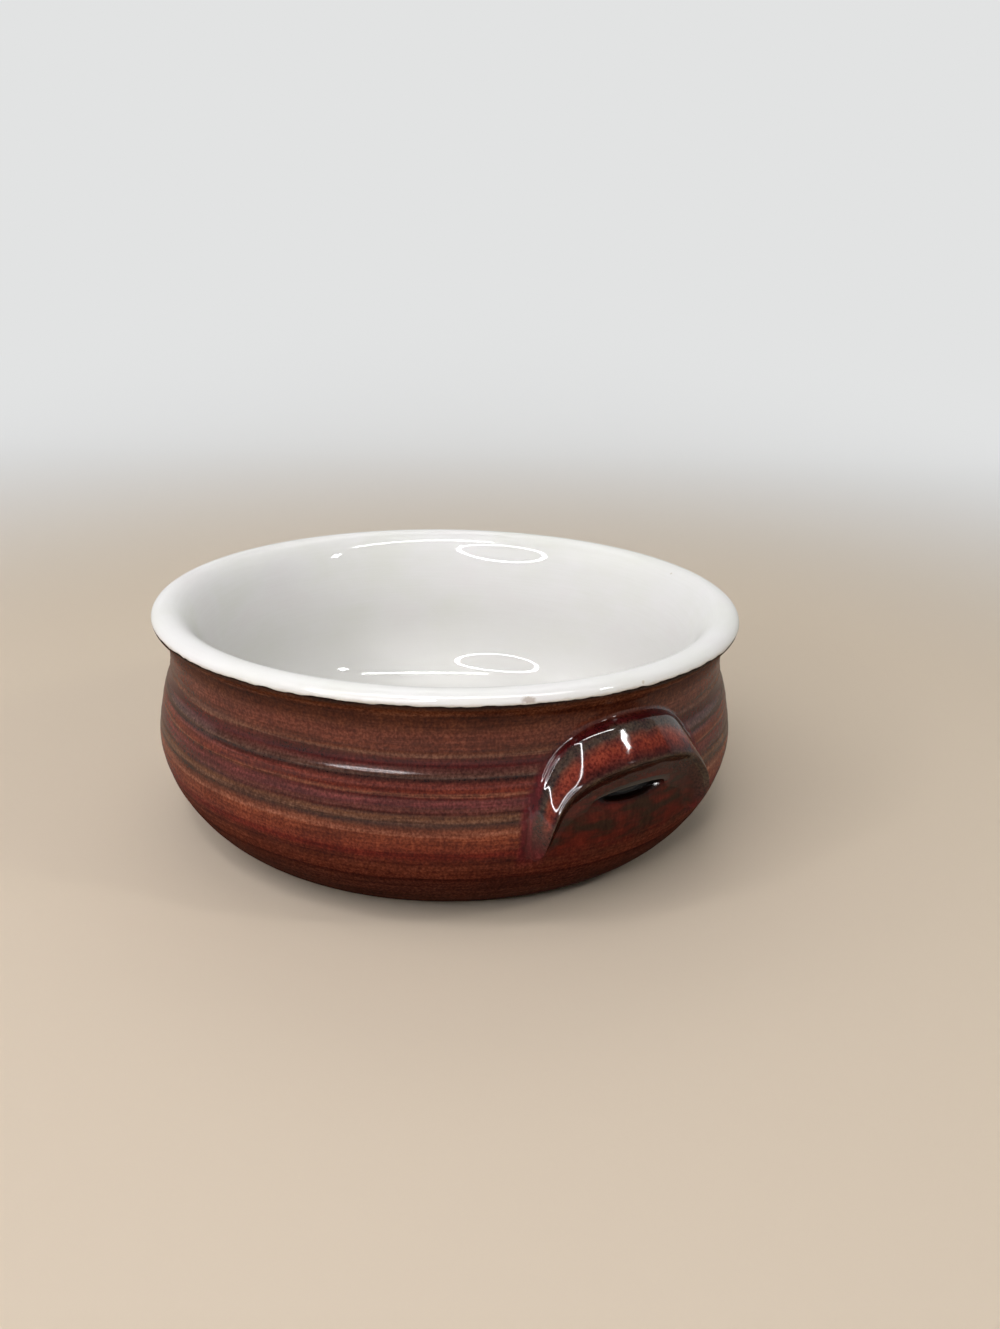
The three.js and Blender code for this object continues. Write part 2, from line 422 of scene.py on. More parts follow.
# Crescent lug with its flowed-over seam
lug = {
    "span": 42.4,
    "rise": 23.0,
    "tailHeight": 18.2,
    "squareness": 2.5,
    "archShare": 0.88,  # the rest of the length runs out on the wall
    "runOut": 3.4,
    "runNarrowing": 0.4,
    "faceDrop": 6.3,
    "faceBulge": 0.25,
    "facePlaces": (0.14, 0.36, 0.6, 0.82),
    "tailWidth": 1.8,
    "tailScale": 0.2,
    "upperStandoff": (0.3, 1.8, 1.2),  # on the wall, added at the crown, power of the height share
    "noseStandoff": (0.5, 6.0, 0.75),  # the legs stay proud of the wall
    "upperCrown": 0.05,
    "upperPlace": 1.02,  # places across the lug, which its colours follow
    "nosePlaces": (1.93, 2.05, 2.15),
    "noseEdge": 0.85,  # how far the edge of the nose is eased on each side
    "coat": 0.76,
    "fullFrom": 0.5,  # height share where coat and bulge are whole
    "legDip": 1.0,  # the face is flattened on the legs, most where the height share is dipAt
    "dipAt": 0.77,
    "dipSpread": 0.17,
    "seamSpread": 0.8,  # the seam spreads down the legs
    "seamBase": [(-3.0, -0.7), (-2.3, 0.2)],  # below the upper edge, off the clay
    "seamCoat": 0.44,
    "seam": [  # below the upper edge, lift off the coat, place across the lug
        (-1.65, 0.0, 0.25), (-1.05, 0.1, 0.5), (-0.64, 0.5, 0.72), (-0.38, 1.3, 0.9),
    ],
    "underDrop": 6.4,
    "underOff": 0.9,
    "underHollow": 0.3,  # the underside is drawn in between nose and wall
    "underPlaces": (0.28, 0.46, 0.64, 0.82),
    "pocketFrom": 8.0,  # the pocket under the nose closes between these, from the middle
    "pocketTo": 12.5,
    "pocketRoot": [  # below the root, off the clay, place across the lug
        (0.3, 1.55, 3.75), (0.85, 1.05, 3.9), (0.1, 0.5, 4.1), (-1.6, 0.1, 4.4), (-3.4, -0.8, 4.6),
    ],
    "coveRoot": [  # the same on the legs, where a cove runs on to the wall
        (0.3, 0.8, 3.75), (1.5, 0.22, 3.9), (3.0, -0.02, 4.0), (4.0, -0.45, 4.1), (2.0, -1.27, 4.2),
    ],
    "coveLeast": 0.75,
    "coveOff": 0.47,
    "buried": 0.3,  # the run ends this deep in the clay
    "hugWithin": (0.6, 3.2),  # off the clay, where it leaves the drawn-in neck
    "alongSteps": 64,
    "smoothing": 2,
    "unevenSize": 7,
    "uneven": 0.08,
}


def lugStation(along):
    # upper edge, direction to the nose, face width, height share, pocket share and run-out share
    half = lug["span"] / 2
    if abs(along) <= lug["archShare"]:
        across = math.sin(along / lug["archShare"] * math.pi / 2)
        rise = max(1 - abs(across) ** lug["squareness"], 0) ** (1 / lug["squareness"])
        upper = Vector((half * across, lug["tailHeight"] + lug["rise"] * rise))
        noseHeight = lug["tailHeight"] + (lug["rise"] - lug["faceDrop"]) * rise
        nose = Vector(((half - lug["tailWidth"]) * across, noseHeight))
        inward = nose - upper
        scale = lug["tailScale"] + (1 - lug["tailScale"]) * rise
        pocket = 1 - easeBetween(lug["pocketFrom"], lug["pocketTo"], abs(nose.x))
        return upper, inward.normalized(), inward.length, scale, pocket, 0
    run = (abs(along) - lug["archShare"]) / (1 - lug["archShare"])
    side = math.copysign(1, along)
    upper = Vector((half * side, lug["tailHeight"] - lug["runOut"] * run))
    width = lug["tailWidth"] * (1 - lug["runNarrowing"] * run)
    return upper, Vector((-side, 0)), width, lug["tailScale"] * (1 - run), 0, run


def standOff(values, scale):
    least, added, power = values
    return least + added * scale ** power


def lugSection(width, scale, pocket):
    # distance below the upper edge, distance off the clay, place across the lug
    full = easeBetween(0, lug["fullFrom"], scale)
    coat = lug["coat"] * full - lug["legDip"] * bump(scale, lug["dipAt"], lug["dipSpread"])
    start = Vector((0, standOff(lug["upperStandoff"], scale) + coat))
    nose = Vector((width, standOff(lug["noseStandoff"], scale) + coat))
    root = width + lug["underDrop"] * scale
    heel = Vector((root, lug["underOff"]))
    slope = (nose - start).normalized()
    under = (heel - nose).normalized()
    outward, hollow = Vector((-slope.y, slope.x)), Vector((under.y, -under.x))
    wide = 1 + lug["seamSpread"] * (1 - scale)
    section = [(below * wide, off, 0) for below, off in lug["seamBase"]]
    section += [(below * wide, lug["seamCoat"] + lift * scale, place) for below, lift, place in lug["seam"]]
    section.append((0.0, start.y + lug["upperCrown"] * scale, lug["upperPlace"]))
    for share in lug["facePlaces"]:
        spot = start.lerp(nose, share) + outward * lug["faceBulge"] * full * math.sin(math.pi * share)
        section.append((spot.x, spot.y, 1 + share))
    edge = lug["noseEdge"] * scale
    for spot, place in zip((nose - slope * edge, nose, nose + under * edge), lug["nosePlaces"]):
        section.append((spot.x, spot.y, place))
    for share in lug["underPlaces"]:
        spot = nose.lerp(heel, share) + hollow * lug["underHollow"] * scale * math.sin(math.pi * share)
        section.append((spot.x, spot.y, 2 + 2 * share))
    for (inBelow, inOff, inPlace), (below, off, place) in zip(lug["pocketRoot"], lug["coveRoot"]):
        coveOff = lug["coveOff"] + (off * scale if off > 0 else off)
        cove = Vector((root + below * max(scale, lug["coveLeast"]), coveOff, place))
        section.append(tuple(cove.lerp(Vector((root + inBelow, inOff, inPlace)), pocket)))
    return section


def lugPlace(station, spot):
    upper, inward, width, scale, pocket, run = station
    shrink = 1 - run ** 4  # closes the end of the run
    below = width / 2 + (spot[0] - width / 2) * shrink
    off = (spot[1] + lug["buried"]) * shrink - lug["buried"]
    onWall = upper + inward * below
    hug = 1 - easeBetween(*lug["hugWithin"], off)
    radius = wallRadius(onWall.y) + shoulderStep(onWall.y) * hug + off
    angle = onWall.x / crock["bellyRadius"]
    return Vector((radius * math.cos(angle), radius * math.sin(angle), onWall.y)) * mm


def pullLug():
    around = len(lugSection(1, 1, 0))
    bpy.ops.object.select_all(action="DESELECT")
    bpy.ops.mesh.primitive_grid_add(
        x_subdivisions=lug["alongSteps"], y_subdivisions=around, size=2, calc_uvs=False)
    piece = bpy.context.object
    piece.name = piece.data.name = "lugCoat"
    across = piece.data.attributes.new("across", "FLOAT", "POINT")
    leg = piece.data.attributes.new("leg", "FLOAT", "POINT")
    for vertex in piece.data.vertices:
        station = lugStation(vertex.co.x)
        section = lugSection(*station[2:5])
        spot = section[round((vertex.co.y + 1) / 2 * around) % around]
        across.data[vertex.index].value = spot[2]
        leg.data[vertex.index].value = station[3]
        vertex.co = lugPlace(station, spot)
    closeSkin()
    bpy.ops.object.modifier_add(type="SUBSURF")
    smoother = piece.modifiers[-1]
    smoother.levels = smoother.render_levels = lug["smoothing"]
    bpy.ops.object.modifier_apply(modifier=smoother.name)
    bpy.ops.object.shade_smooth()
    unevenSurface(piece, lug["unevenSize"], -lug["uneven"])
    return piece


lugCoat = pullLug()
print("lug pulled,", len(lugCoat.data.polygons), "faces")


# Shader helpers
def paint(red, green, blue):
    # a colour as read off a screen, made linear
    parts = [v / 255 for v in (red, green, blue)]
    return [v / 12.92 if v <= 0.04045 else ((v + 0.055) / 1.055) ** 2.4 for v in parts] + [1]


def paints(stops, low=0, span=1):
    return [((place - low) / span, paint(*colour)) for place, colour in stops]


def addNode(tree, kind, **settings):
    count = len(tree.nodes)
    node = tree.nodes.new(kind)
    node.location = (count % 8 * 240, count // 8 * -340)  # rows of eight
    for name, value in settings.items():
        setattr(node, name, value)
    return node


def feed(tree, node, **inputs):
    # s0, s1 and on are sockets by number, other names are the sockets' own
    for name, value in inputs.items():
        socket = node.inputs[int(name[1:])] if name[1:].isdigit() else node.inputs[name]
        if isinstance(value, bpy.types.NodeSocket):
            tree.links.new(value, socket)
        else:
            socket.default_value = value
    return node


def work(tree, operation, first, second=0.0, third=0.0, clamp=False):
    node = addNode(tree, "ShaderNodeMath", operation=operation, use_clamp=clamp)
    return feed(tree, node, s0=first, s1=second, s2=third).outputs[0]


def workVector(tree, operation, first, second=(0, 0, 0)):
    node = addNode(tree, "ShaderNodeVectorMath", operation=operation)
    return feed(tree, node, s0=first, s1=second).outputs


def splitPlace(tree, vector):
    return feed(tree, addNode(tree, "ShaderNodeSeparateXYZ"), Vector=vector).outputs


def readAttribute(tree, name):
    node = addNode(tree, "ShaderNodeAttribute", attribute_name=name, attribute_type="GEOMETRY")
    return node.outputs["Fac"]


def heightOf(tree, place):
    return work(tree, "DIVIDE", place["Z"], mm)


def farFrom(tree, across, along):
    squares = work(tree, "ADD", work(tree, "POWER", across, 2.0), work(tree, "POWER", along, 2.0))
    return work(tree, "SQRT", squares)


def speckle(tree, vector, size, stretch=1.0, detail=2.0):
    # noise with grains of the given size in millimetres, drawn out upwards by stretch
    grain = feed(tree, addNode(tree, "ShaderNodeMapping"), Vector=vector, Scale=(1, 1, 1 / stretch))
    noise = addNode(tree, "ShaderNodeTexNoise")
    feed(tree, noise, Vector=grain.outputs[0], Scale=1000 / size, Detail=detail, Roughness=0.55)
    return noise.outputs["Fac"]


def sway(tree, noise, amount):
    # the noise as a shift to either side
    return work(tree, "MULTIPLY_ADD", noise, amount, -amount / 2)


def colourRamp(tree, value, stops):
    node = addNode(tree, "ShaderNodeValToRGB")
    marks = node.color_ramp.elements
    while len(marks) > 1:
        marks.remove(marks[-1])
    marks[0].position, marks[0].color = stops[0]
    for position, colour in stops[1:]:
        marks.new(position).color = colour
    return feed(tree, node, Fac=value).outputs["Color"]


def blendColours(tree, share, first, second, mode="MIX"):
    node = addNode(tree, "ShaderNodeMix", data_type="RGBA", blend_type=mode)
    return feed(tree, node, s0=share, s6=first, s7=second).outputs[2]


def tintColour(tree, colour, noise, share, stops):
    # darker and lighter where the noise is low and high
    tints = colourRamp(tree, noise, [(place, (*tint, 1)) for place, tint in stops])
    return blendColours(tree, share, colour, tints, "MULTIPLY")


def mapRange(tree, value, fromLow, fromHigh, toLow=0.0, toHigh=1.0, smooth=False):
    style = "SMOOTHSTEP" if smooth else "LINEAR"
    node = addNode(tree, "ShaderNodeMapRange", interpolation_type=style)
    return feed(tree, node, s0=value, s1=fromLow, s2=fromHigh, s3=toLow, s4=toHigh).outputs[0]


def fadeIn(tree, value, low, high, most=1.0):
    return mapRange(tree, value, low, high, 0.0, most, True)


def fadeOut(tree, value, low, high, most=1.0):
    return mapRange(tree, value, low, high, most, 0.0, True)


def startGroup(name, **outputs):
    tree = bpy.data.node_groups.new(name, "ShaderNodeTree")
    tree.interface.new_socket(name="Vector", in_out="INPUT", socket_type="NodeSocketVector")
    for label, kind in outputs.items():
        tree.interface.new_socket(name=label, in_out="OUTPUT", socket_type="NodeSocket" + kind)
    source = addNode(tree, "NodeGroupInput")
    return tree, source.outputs["Vector"], addNode(tree, "NodeGroupOutput")


def useGroup(tree, group, vector):
    return feed(tree, addNode(tree, "ShaderNodeGroup", node_tree=group), Vector=vector).outputs


def startMaterial(name):
    material = bpy.data.materials.new(name)
    material.use_nodes = True
    tree = material.node_tree
    coords = addNode(tree, "ShaderNodeTexCoord")
    return material, tree, tree.nodes["Principled BSDF"], coords.outputs["Object"]


def addBump(tree, shader, height, strength, distance):
    node = addNode(tree, "ShaderNodeBump")
    feed(tree, node, Height=height, Strength=strength, Distance=distance * mm)
    feed(tree, shader, Normal=node.outputs["Normal"])


def giveFinish(piece, material):
    piece.data.materials.clear()
    piece.data.materials.append(material)


# Turned bands of the outer glaze, by height above the table
bands = {
    "lower": [  # height, colour
        (0, (44, 20, 13)), (6, (60, 29, 20)), (11.4, (66, 29, 19)), (12.0, (54, 17, 9)),
        (12.6, (82, 35, 22)), (15.8, (88, 40, 26)), (16.4, (64, 21, 12)), (17.0, (90, 36, 22)),
        (17.8, (92, 29, 19)), (18.6, (92, 25, 16)), (19.3, (102, 40, 25)), (21.2, (106, 45, 26)),
        (22.4, (109, 50, 30)), (23.1, (122, 68, 48)), (23.7, (104, 52, 34)), (24.3, (80, 40, 26)),
        (24.8, (58, 30, 20)), (25.0, (62, 34, 22)),
    ],
    "upper": [
        (25.0, (62, 34, 22)), (25.5, (94, 60, 44)), (26.2, (92, 54, 33)), (27.0, (62, 26, 18)),
        (27.4, (88, 42, 34)), (28.1, (82, 32, 30)), (29.2, (94, 38, 34)), (29.9, (74, 24, 14)),
        (30.4, (114, 62, 42)), (30.8, (90, 32, 16)), (31.6, (96, 36, 22)), (32.3, (102, 46, 36)),
        (32.8, (62, 24, 16)), (33.3, (52, 26, 18)), (33.8, (82, 54, 43)), (34.9, (84, 42, 35)),
        (35.5, (66, 15, 13)), (36.8, (74, 24, 18)), (37.4, (100, 62, 45)), (37.8, (96, 56, 38)),
        (38.3, (78, 36, 22)), (38.9, (92, 42, 28)), (41.2, (96, 45, 31)), (42.2, (88, 42, 27)),
        # under the lip, the darker stops at 43.2 and 45.0 and the near-black line at 48.0 and 48.6 below
        # the white edge are partly painted shade of the lip's overhang, partly the glaze's own darker brown
        (43.2, (78, 36, 20)), (45.0, (66, 29, 15)), (46.2, (98, 55, 36)), (47.2, (84, 46, 29)),
        (48.0, (30, 12, 7)), (48.6, (20, 8, 5)),
    ],
    "join": 25,  # height where the upper list takes over
    "noises": {  # grain size, stretch upwards, detail
        "drift": (34, 2.5, 1.0),
        "streak": (0.9, 4, 3.0),  # drawn-down flow marks
        "mottle": (0.5, 1.1, 2.0),
        "cloud": (11, 0.6, 3.0),
        "comb": (16, 0.035, 2.0),  # thin lines drawn round by the brush
    },
    "sways": {"drift": 1.3, "streak": 0.5, "comb": 1.0},  # how far the bands wander
    "tints": {  # share, then stops of noise and tint
        "mottle": (0.9, [(0.34, (0.58, 0.5, 0.5)), (0.5, (1, 1, 1)), (0.66, (1.5, 1.65, 1.75))]),
        "streak": (0.7, [(0.34, (0.74, 0.68, 0.66)), (0.52, (1, 1, 1)), (0.68, (1.2, 1.26, 1.3))]),
        "comb": (0.8, [(0.36, (0.66, 0.6, 0.58)), (0.5, (1, 1, 1)), (0.64, (1.22, 1.3, 1.32))]),
        "cloud": (1.0, [(0.35, (0.86, 0.8, 0.8)), (0.65, (1.12, 1.14, 1.1))]),
    },
    "haze": (0.3, 0.75, 0.24, 0.4),  # mottle from and to, roughness from and to
    "grain": 0.6,  # mottle added to the streaks
}


def bandedGroup():
    tree, vector, result = startGroup("turnedBands", Color="Color", Haze="Float", Grain="Float")
    noises = {name: speckle(tree, vector, *values) for name, values in bands["noises"].items()}
    level = heightOf(tree, splitPlace(tree, vector))
    for name, amount in bands["sways"].items():
        level = work(tree, "ADD", level, sway(tree, noises[name], amount))
    join = bands["join"]
    low = colourRamp(tree, mapRange(tree, level, 0, join), paints(bands["lower"], 0, join))
    high = colourRamp(tree, mapRange(tree, level, join, 2 * join), paints(bands["upper"], join, join))
    colour = blendColours(tree, work(tree, "GREATER_THAN", level, join), low, high)
    for name, (share, stops) in bands["tints"].items():
        colour = tintColour(tree, colour, noises[name], share, stops)
    hazy = mapRange(tree, noises["mottle"], *bands["haze"])
    grain = work(tree, "MULTIPLY_ADD", noises["mottle"], bands["grain"], noises["streak"])
    feed(tree, result, Color=colour, Haze=hazy, Grain=grain)
    return tree


turnedBands = bandedGroup()

# Crimson glaze pooled along the lug's seam
pool = {
    "tones": [(0.45, (46, 5, 8)), (0.8, (78, 12, 16)), (1.0, (100, 28, 31))],
    "crownTone": (44, 11, 10),  # deeper over the crown
    "crownShare": 0.7,
    "crownFrom": 31,
    "crownTo": 40,
    "reach": 22.0,  # turns the arch's own measure into millimetres
    "raggedNoise": (2.2, 1.5, 3.0),
    "ragged": 1.8,
    "spread": (26.0, 41.0, 2.6, 0.7),  # heights from and to, width from and to: it runs down the legs
    "outerEdge": (-0.7, 0.8),
    "innerEdge": (-3.2, -1.4),
    "runsOut": (13.0, 18.5),  # heights
}

# Painted shade on the wall under the arch, in dark olive and red-brown patches
archShade = {
    "tones": [(0.4, (46, 26, 15)), (0.5, (62, 22, 12)), (0.62, (84, 25, 14))],
    "patchNoise": (8, 0.35, 3.0),
    "fleck": [(0.45, (0.62, 0.58, 0.56)), (0.8, (1, 1, 1)), (1.0, (1.3, 1.35, 1.4))],
    "edge": (-4.0, -1.0),
    "runsOut": (12.0, 20.0),
    "dentEdge": (0.7, 1.05),
}


def flowGroup():
    tree, vector, result = startGroup("seamFlow", Pool="Float", Shelter="Float", Dark="Float")
    place = splitPlace(tree, vector)
    height = heightOf(tree, place)
    angle = work(tree, "ARCTAN2", place["Y"], place["X"])
    side = work(tree, "MULTIPLY", angle, crock["bellyRadius"])  # along the wall from the lug's middle
    power = lug["squareness"]
    rise = work(tree, "MAXIMUM", work(tree, "SUBTRACT", height, lug["tailHeight"]), 0.0)
    across = work(tree, "DIVIDE", work(tree, "ABSOLUTE", side), lug["span"] / 2)
    upward = work(tree, "DIVIDE", rise, lug["rise"])
    arch = work(tree, "ADD", work(tree, "POWER", across, power), work(tree, "POWER", upward, power))
    arch = work(tree, "POWER", arch, 1 / power)
    beyond = work(tree, "MULTIPLY_ADD", arch, pool["reach"], -pool["reach"])  # outside the upper edge
    ragged = speckle(tree, vector, *pool["raggedNoise"])
    loose = work(tree, "ADD", beyond, sway(tree, ragged, pool["ragged"]))
    spread = mapRange(tree, height, *pool["spread"])
    rim = fadeOut(tree, work(tree, "SUBTRACT", loose, spread), *pool["outerEdge"])
    inner = fadeIn(tree, loose, *pool["innerEdge"])
    pooled = work(tree, "MULTIPLY", rim, inner)
    pooled = work(tree, "MULTIPLY", pooled, fadeIn(tree, height, *pool["runsOut"]))
    # mask of the painted shade on the wall inside the arch
    archShaded = fadeOut(tree, loose, *archShade["edge"])
    archShaded = work(tree, "MULTIPLY", archShaded, fadeIn(tree, height, *archShade["runsOut"]))
    shift = work(tree, "DIVIDE", work(tree, "SUBTRACT", side, dent["side"]), dent["halfWidth"])
    lift = work(tree, "DIVIDE", work(tree, "SUBTRACT", height, dent["height"]), dent["halfHeight"])
    # mask of the painted shade in the dent
    dark = fadeOut(tree, farFrom(tree, shift, lift), *archShade["dentEdge"])
    feed(tree, result, Pool=pooled, Shelter=archShaded, Dark=dark)
    return tree


seamFlow = flowGroup()

# Gloss of the coat on wall and lug
wallGloss = {
    "byHeight": (12, 27, 0.04, 0.36),  # heights from and to, gloss from and to: duller towards the foot
    "underLip": (40, 45, 1.0, 0.4),
    "archShaded": 0.45,
    "coatIor": 1.8,
    "bumpDepth": 0.06,
    "wallRough": 0.15,
    "wallBump": 0.5,
    "lugShare": 1.7,
    "lugRough": 0.07,
    "lugBump": 0.2,
}


def wallGroup():
    # bands, crimson seam, and the painted shade under the arch and in the dent together
    tree, vector, result = startGroup(
        "glazedWall", Color="Color", Haze="Float", Grain="Float", Gloss="Float")
    turned = useGroup(tree, turnedBands, vector)
    flow = useGroup(tree, seamFlow, vector)
    height = heightOf(tree, splitPlace(tree, vector))
    crimson = colourRamp(tree, turned["Grain"], paints(pool["tones"]))
    crown = fadeIn(tree, height, pool["crownFrom"], pool["crownTo"], pool["crownShare"])
    crimson = blendColours(tree, crown, crimson, paint(*pool["crownTone"]))
    # the painted shade under the arch: dark olive and red-brown patches with flecks
    patch = speckle(tree, vector, *archShade["patchNoise"])
    shade = colourRamp(tree, patch, paints(archShade["tones"]))
    shade = tintColour(tree, shade, turned["Grain"], 1.0, archShade["fleck"])
    colour = blendColours(tree, flow["Shelter"], turned["Color"], shade)
    colour = blendColours(tree, flow["Pool"], colour, crimson)
    # the dent painted near-black as painted shade
    colour = blendColours(tree, flow["Dark"], colour, paint(*dent["tone"]))
    dull = work(tree, "SUBTRACT", flow["Shelter"], flow["Dark"], clamp=True)
    dull = mapRange(tree, dull, 0.0, 1.0, 1.0, wallGloss["archShaded"])
    dull = work(tree, "MULTIPLY", dull, mapRange(tree, height, *wallGloss["underLip"], True))
    shine = work(tree, "MULTIPLY", mapRange(tree, height, *wallGloss["byHeight"], True), dull)
    feed(tree, result, Color=colour, Haze=turned["Haze"], Grain=turned["Grain"], Gloss=shine)
    return tree


glazedWall = wallGroup()


def gloss(tree, shader, wall, colour, shine, coatRough, bumpStrength):
    feed(tree, shader, **{
        "Base Color": colour,
        "Roughness": wall["Haze"],
        "Specular IOR Level": 0.0,
        "Coat Weight": shine,
        "Coat IOR": wallGloss["coatIor"],
        "Coat Roughness": coatRough,
    })
    addBump(tree, shader, wall["Grain"], bumpStrength, wallGloss["bumpDepth"])


def bandedFinish():
    material, tree, shader, vector = startMaterial("bandedGlaze")
    wall = useGroup(tree, glazedWall, vector)
    gloss(tree, shader, wall, wall["Color"], wall["Gloss"], wallGloss["wallRough"], wallGloss["wallBump"])
    return material


# Lug glaze: rust face, olive edges, crimson seam
lugGlaze = {
    "tones": [  # place across the lug, colour
        (0.0, (92, 16, 28)), (0.72, (92, 14, 26)), (0.96, (66, 20, 20)), (1.05, (56, 40, 31)),
        (1.2, (64, 50, 40)), (1.32, (90, 42, 28)), (1.5, (116, 43, 26)), (1.7, (106, 37, 24)),
        (1.84, (76, 26, 19)), (1.95, (54, 20, 16)), (2.05, (68, 46, 34)), (2.1, (58, 40, 28)),
        (2.42, (52, 36, 25)), (2.5, (70, 50, 36)), (2.58, (54, 30, 20)), (3.0, (56, 26, 18)),
        # the underside darkens towards the wall, to near black at 3.9 and 4.2: painted shade under the nose
        (3.5, (48, 22, 15)), (3.9, (22, 10, 7)), (4.2, (12, 5, 4)),
    ],
    "toneSpan": 4.5,
    "wobbleNoise": (3.2, 1.0, 3.0),
    "wobble": 0.24,
    "legTone": (62, 27, 23),  # the legs run out in dark plum brown
    "legFade": (0.56, 0.32),  # height shares
    "specks": (0.55, 1.0, 3.0),
    "speckTints": (0.9, [(0.34, (0.46, 0.36, 0.38)), (0.5, (1, 1, 1)), (0.66, (1.55, 1.75, 1.85))]),
    "patches": (3.6, 0.8, 2.0),
    "patchTints": (0.8, [(0.38, (0.6, 0.42, 0.5)), (0.52, (1, 1, 1)), (0.66, (1.16, 1.25, 1.2))]),
    "startsAt": (0.78, 1.0),  # places across the lug
    "endsAt": (3.2, 3.85),
    "legEnds": (0.19, 0.36),  # height shares
}


def lugFinish():
    material, tree, shader, vector = startMaterial("lugGlaze")
    wall = useGroup(tree, glazedWall, vector)
    leg = readAttribute(tree, "leg")
    wobble = sway(tree, speckle(tree, vector, *lugGlaze["wobbleNoise"]), lugGlaze["wobble"])
    across = work(tree, "ADD", readAttribute(tree, "across"), wobble)
    span = lugGlaze["toneSpan"]
    tone = colourRamp(tree, work(tree, "DIVIDE", across, span), paints(lugGlaze["tones"], 0, span))
    low = fadeIn(tree, work(tree, "ADD", leg, wobble), *lugGlaze["legFade"])
    tone = blendColours(tree, low, tone, paint(*lugGlaze["legTone"]))
    tone = tintColour(tree, tone, speckle(tree, vector, *lugGlaze["specks"]), *lugGlaze["speckTints"])
    tone = tintColour(tree, tone, speckle(tree, vector, *lugGlaze["patches"]), *lugGlaze["patchTints"])
    onLug = fadeIn(tree, across, *lugGlaze["startsAt"])
    onLug = work(tree, "MULTIPLY", onLug, fadeOut(tree, across, *lugGlaze["endsAt"]))
    onLug = work(tree, "MULTIPLY", onLug, fadeIn(tree, leg, *lugGlaze["legEnds"]))
    colour = blendColours(tree, onLug, wall["Color"], tone)
    shine = work(tree, "MULTIPLY", wall["Gloss"], wallGloss["lugShare"])
    gloss(tree, shader, wall, colour, shine, wallGloss["lugRough"], wallGloss["lugBump"])
    return material


# White liner glaze with pinholes and a thin brown edge
white = {
    "cloudNoise": (24, 0.6, 3.0),
    "tones": [(0.3, (226, 226, 220)), (0.55, (230, 229, 227)), (0.75, (229, 226, 225))],
    "turning": (14, 0.03, 2.0),
    "turningTints": (1.0, [(0.35, (0.985, 0.985, 0.98)), (0.6, (1, 1, 1))]),
    "pinholeScale": 120.0,
    "pinholeSize": (0.03, 0.06),
    "pinholePatch": (9, 1, 1.0),
    "pinholeAbove": 0.6,
    "pinholeTone": (206, 200, 188),
    "thinTone": (176, 158, 138),  # the white thins to brown along its lower edge
    "thinShare": 0.45,
    "thinNoise": (2.4, 1, 3.0),
    "thinSway": 0.8,
    "thinHeights": (48.05, 48.75),
    "thinRadii": (63.8, 64.8),
    "bowlShadeTone": (217, 216, 212),  # greyer down in the bowl: painted shade
    "bowlShadeHeights": (12.0, 40.0),
    "bowlShadeShare": 0.8,
    "rough": (0.3, 0.7, 0.16, 0.26),  # cloud from and to, roughness from and to
    "coatWeight": 0.55,
    "coatIor": 1.75,
    "coatRough": 0.03,
    "rippleNoise": (5, 0.3, 2.0),
    "rippleBump": 0.03,
    "rippleDepth": 0.08,
}

# One small brown kiln mark on the lip
mark = {
    "tone": (150, 124, 104),
    "turn": -20.3,  # degrees from +X
    "radius": 64.9,
    "height": 48.9,
    "flatness": (1, 1, 2),
    "noise": (1.0, 1, 3.0),
    "ragged": 2.2,
    "edge": (1.8, 2.7),  # distances from its middle
    "share": 0.55,
}


def kilnMark(tree, vector):
    turn, radius = math.radians(mark["turn"]), mark["radius"]
    middle = Vector((radius * math.cos(turn), radius * math.sin(turn), mark["height"])) * mm
    shift = workVector(tree, "SUBTRACT", vector, middle)[0]
    shift = workVector(tree, "MULTIPLY", shift, mark["flatness"])[0]
    away = work(tree, "DIVIDE", workVector(tree, "LENGTH", shift)["Value"], mm)
    away = work(tree, "MULTIPLY_ADD", speckle(tree, vector, *mark["noise"]), mark["ragged"], away)
    return fadeOut(tree, away, *mark["edge"], mark["share"])


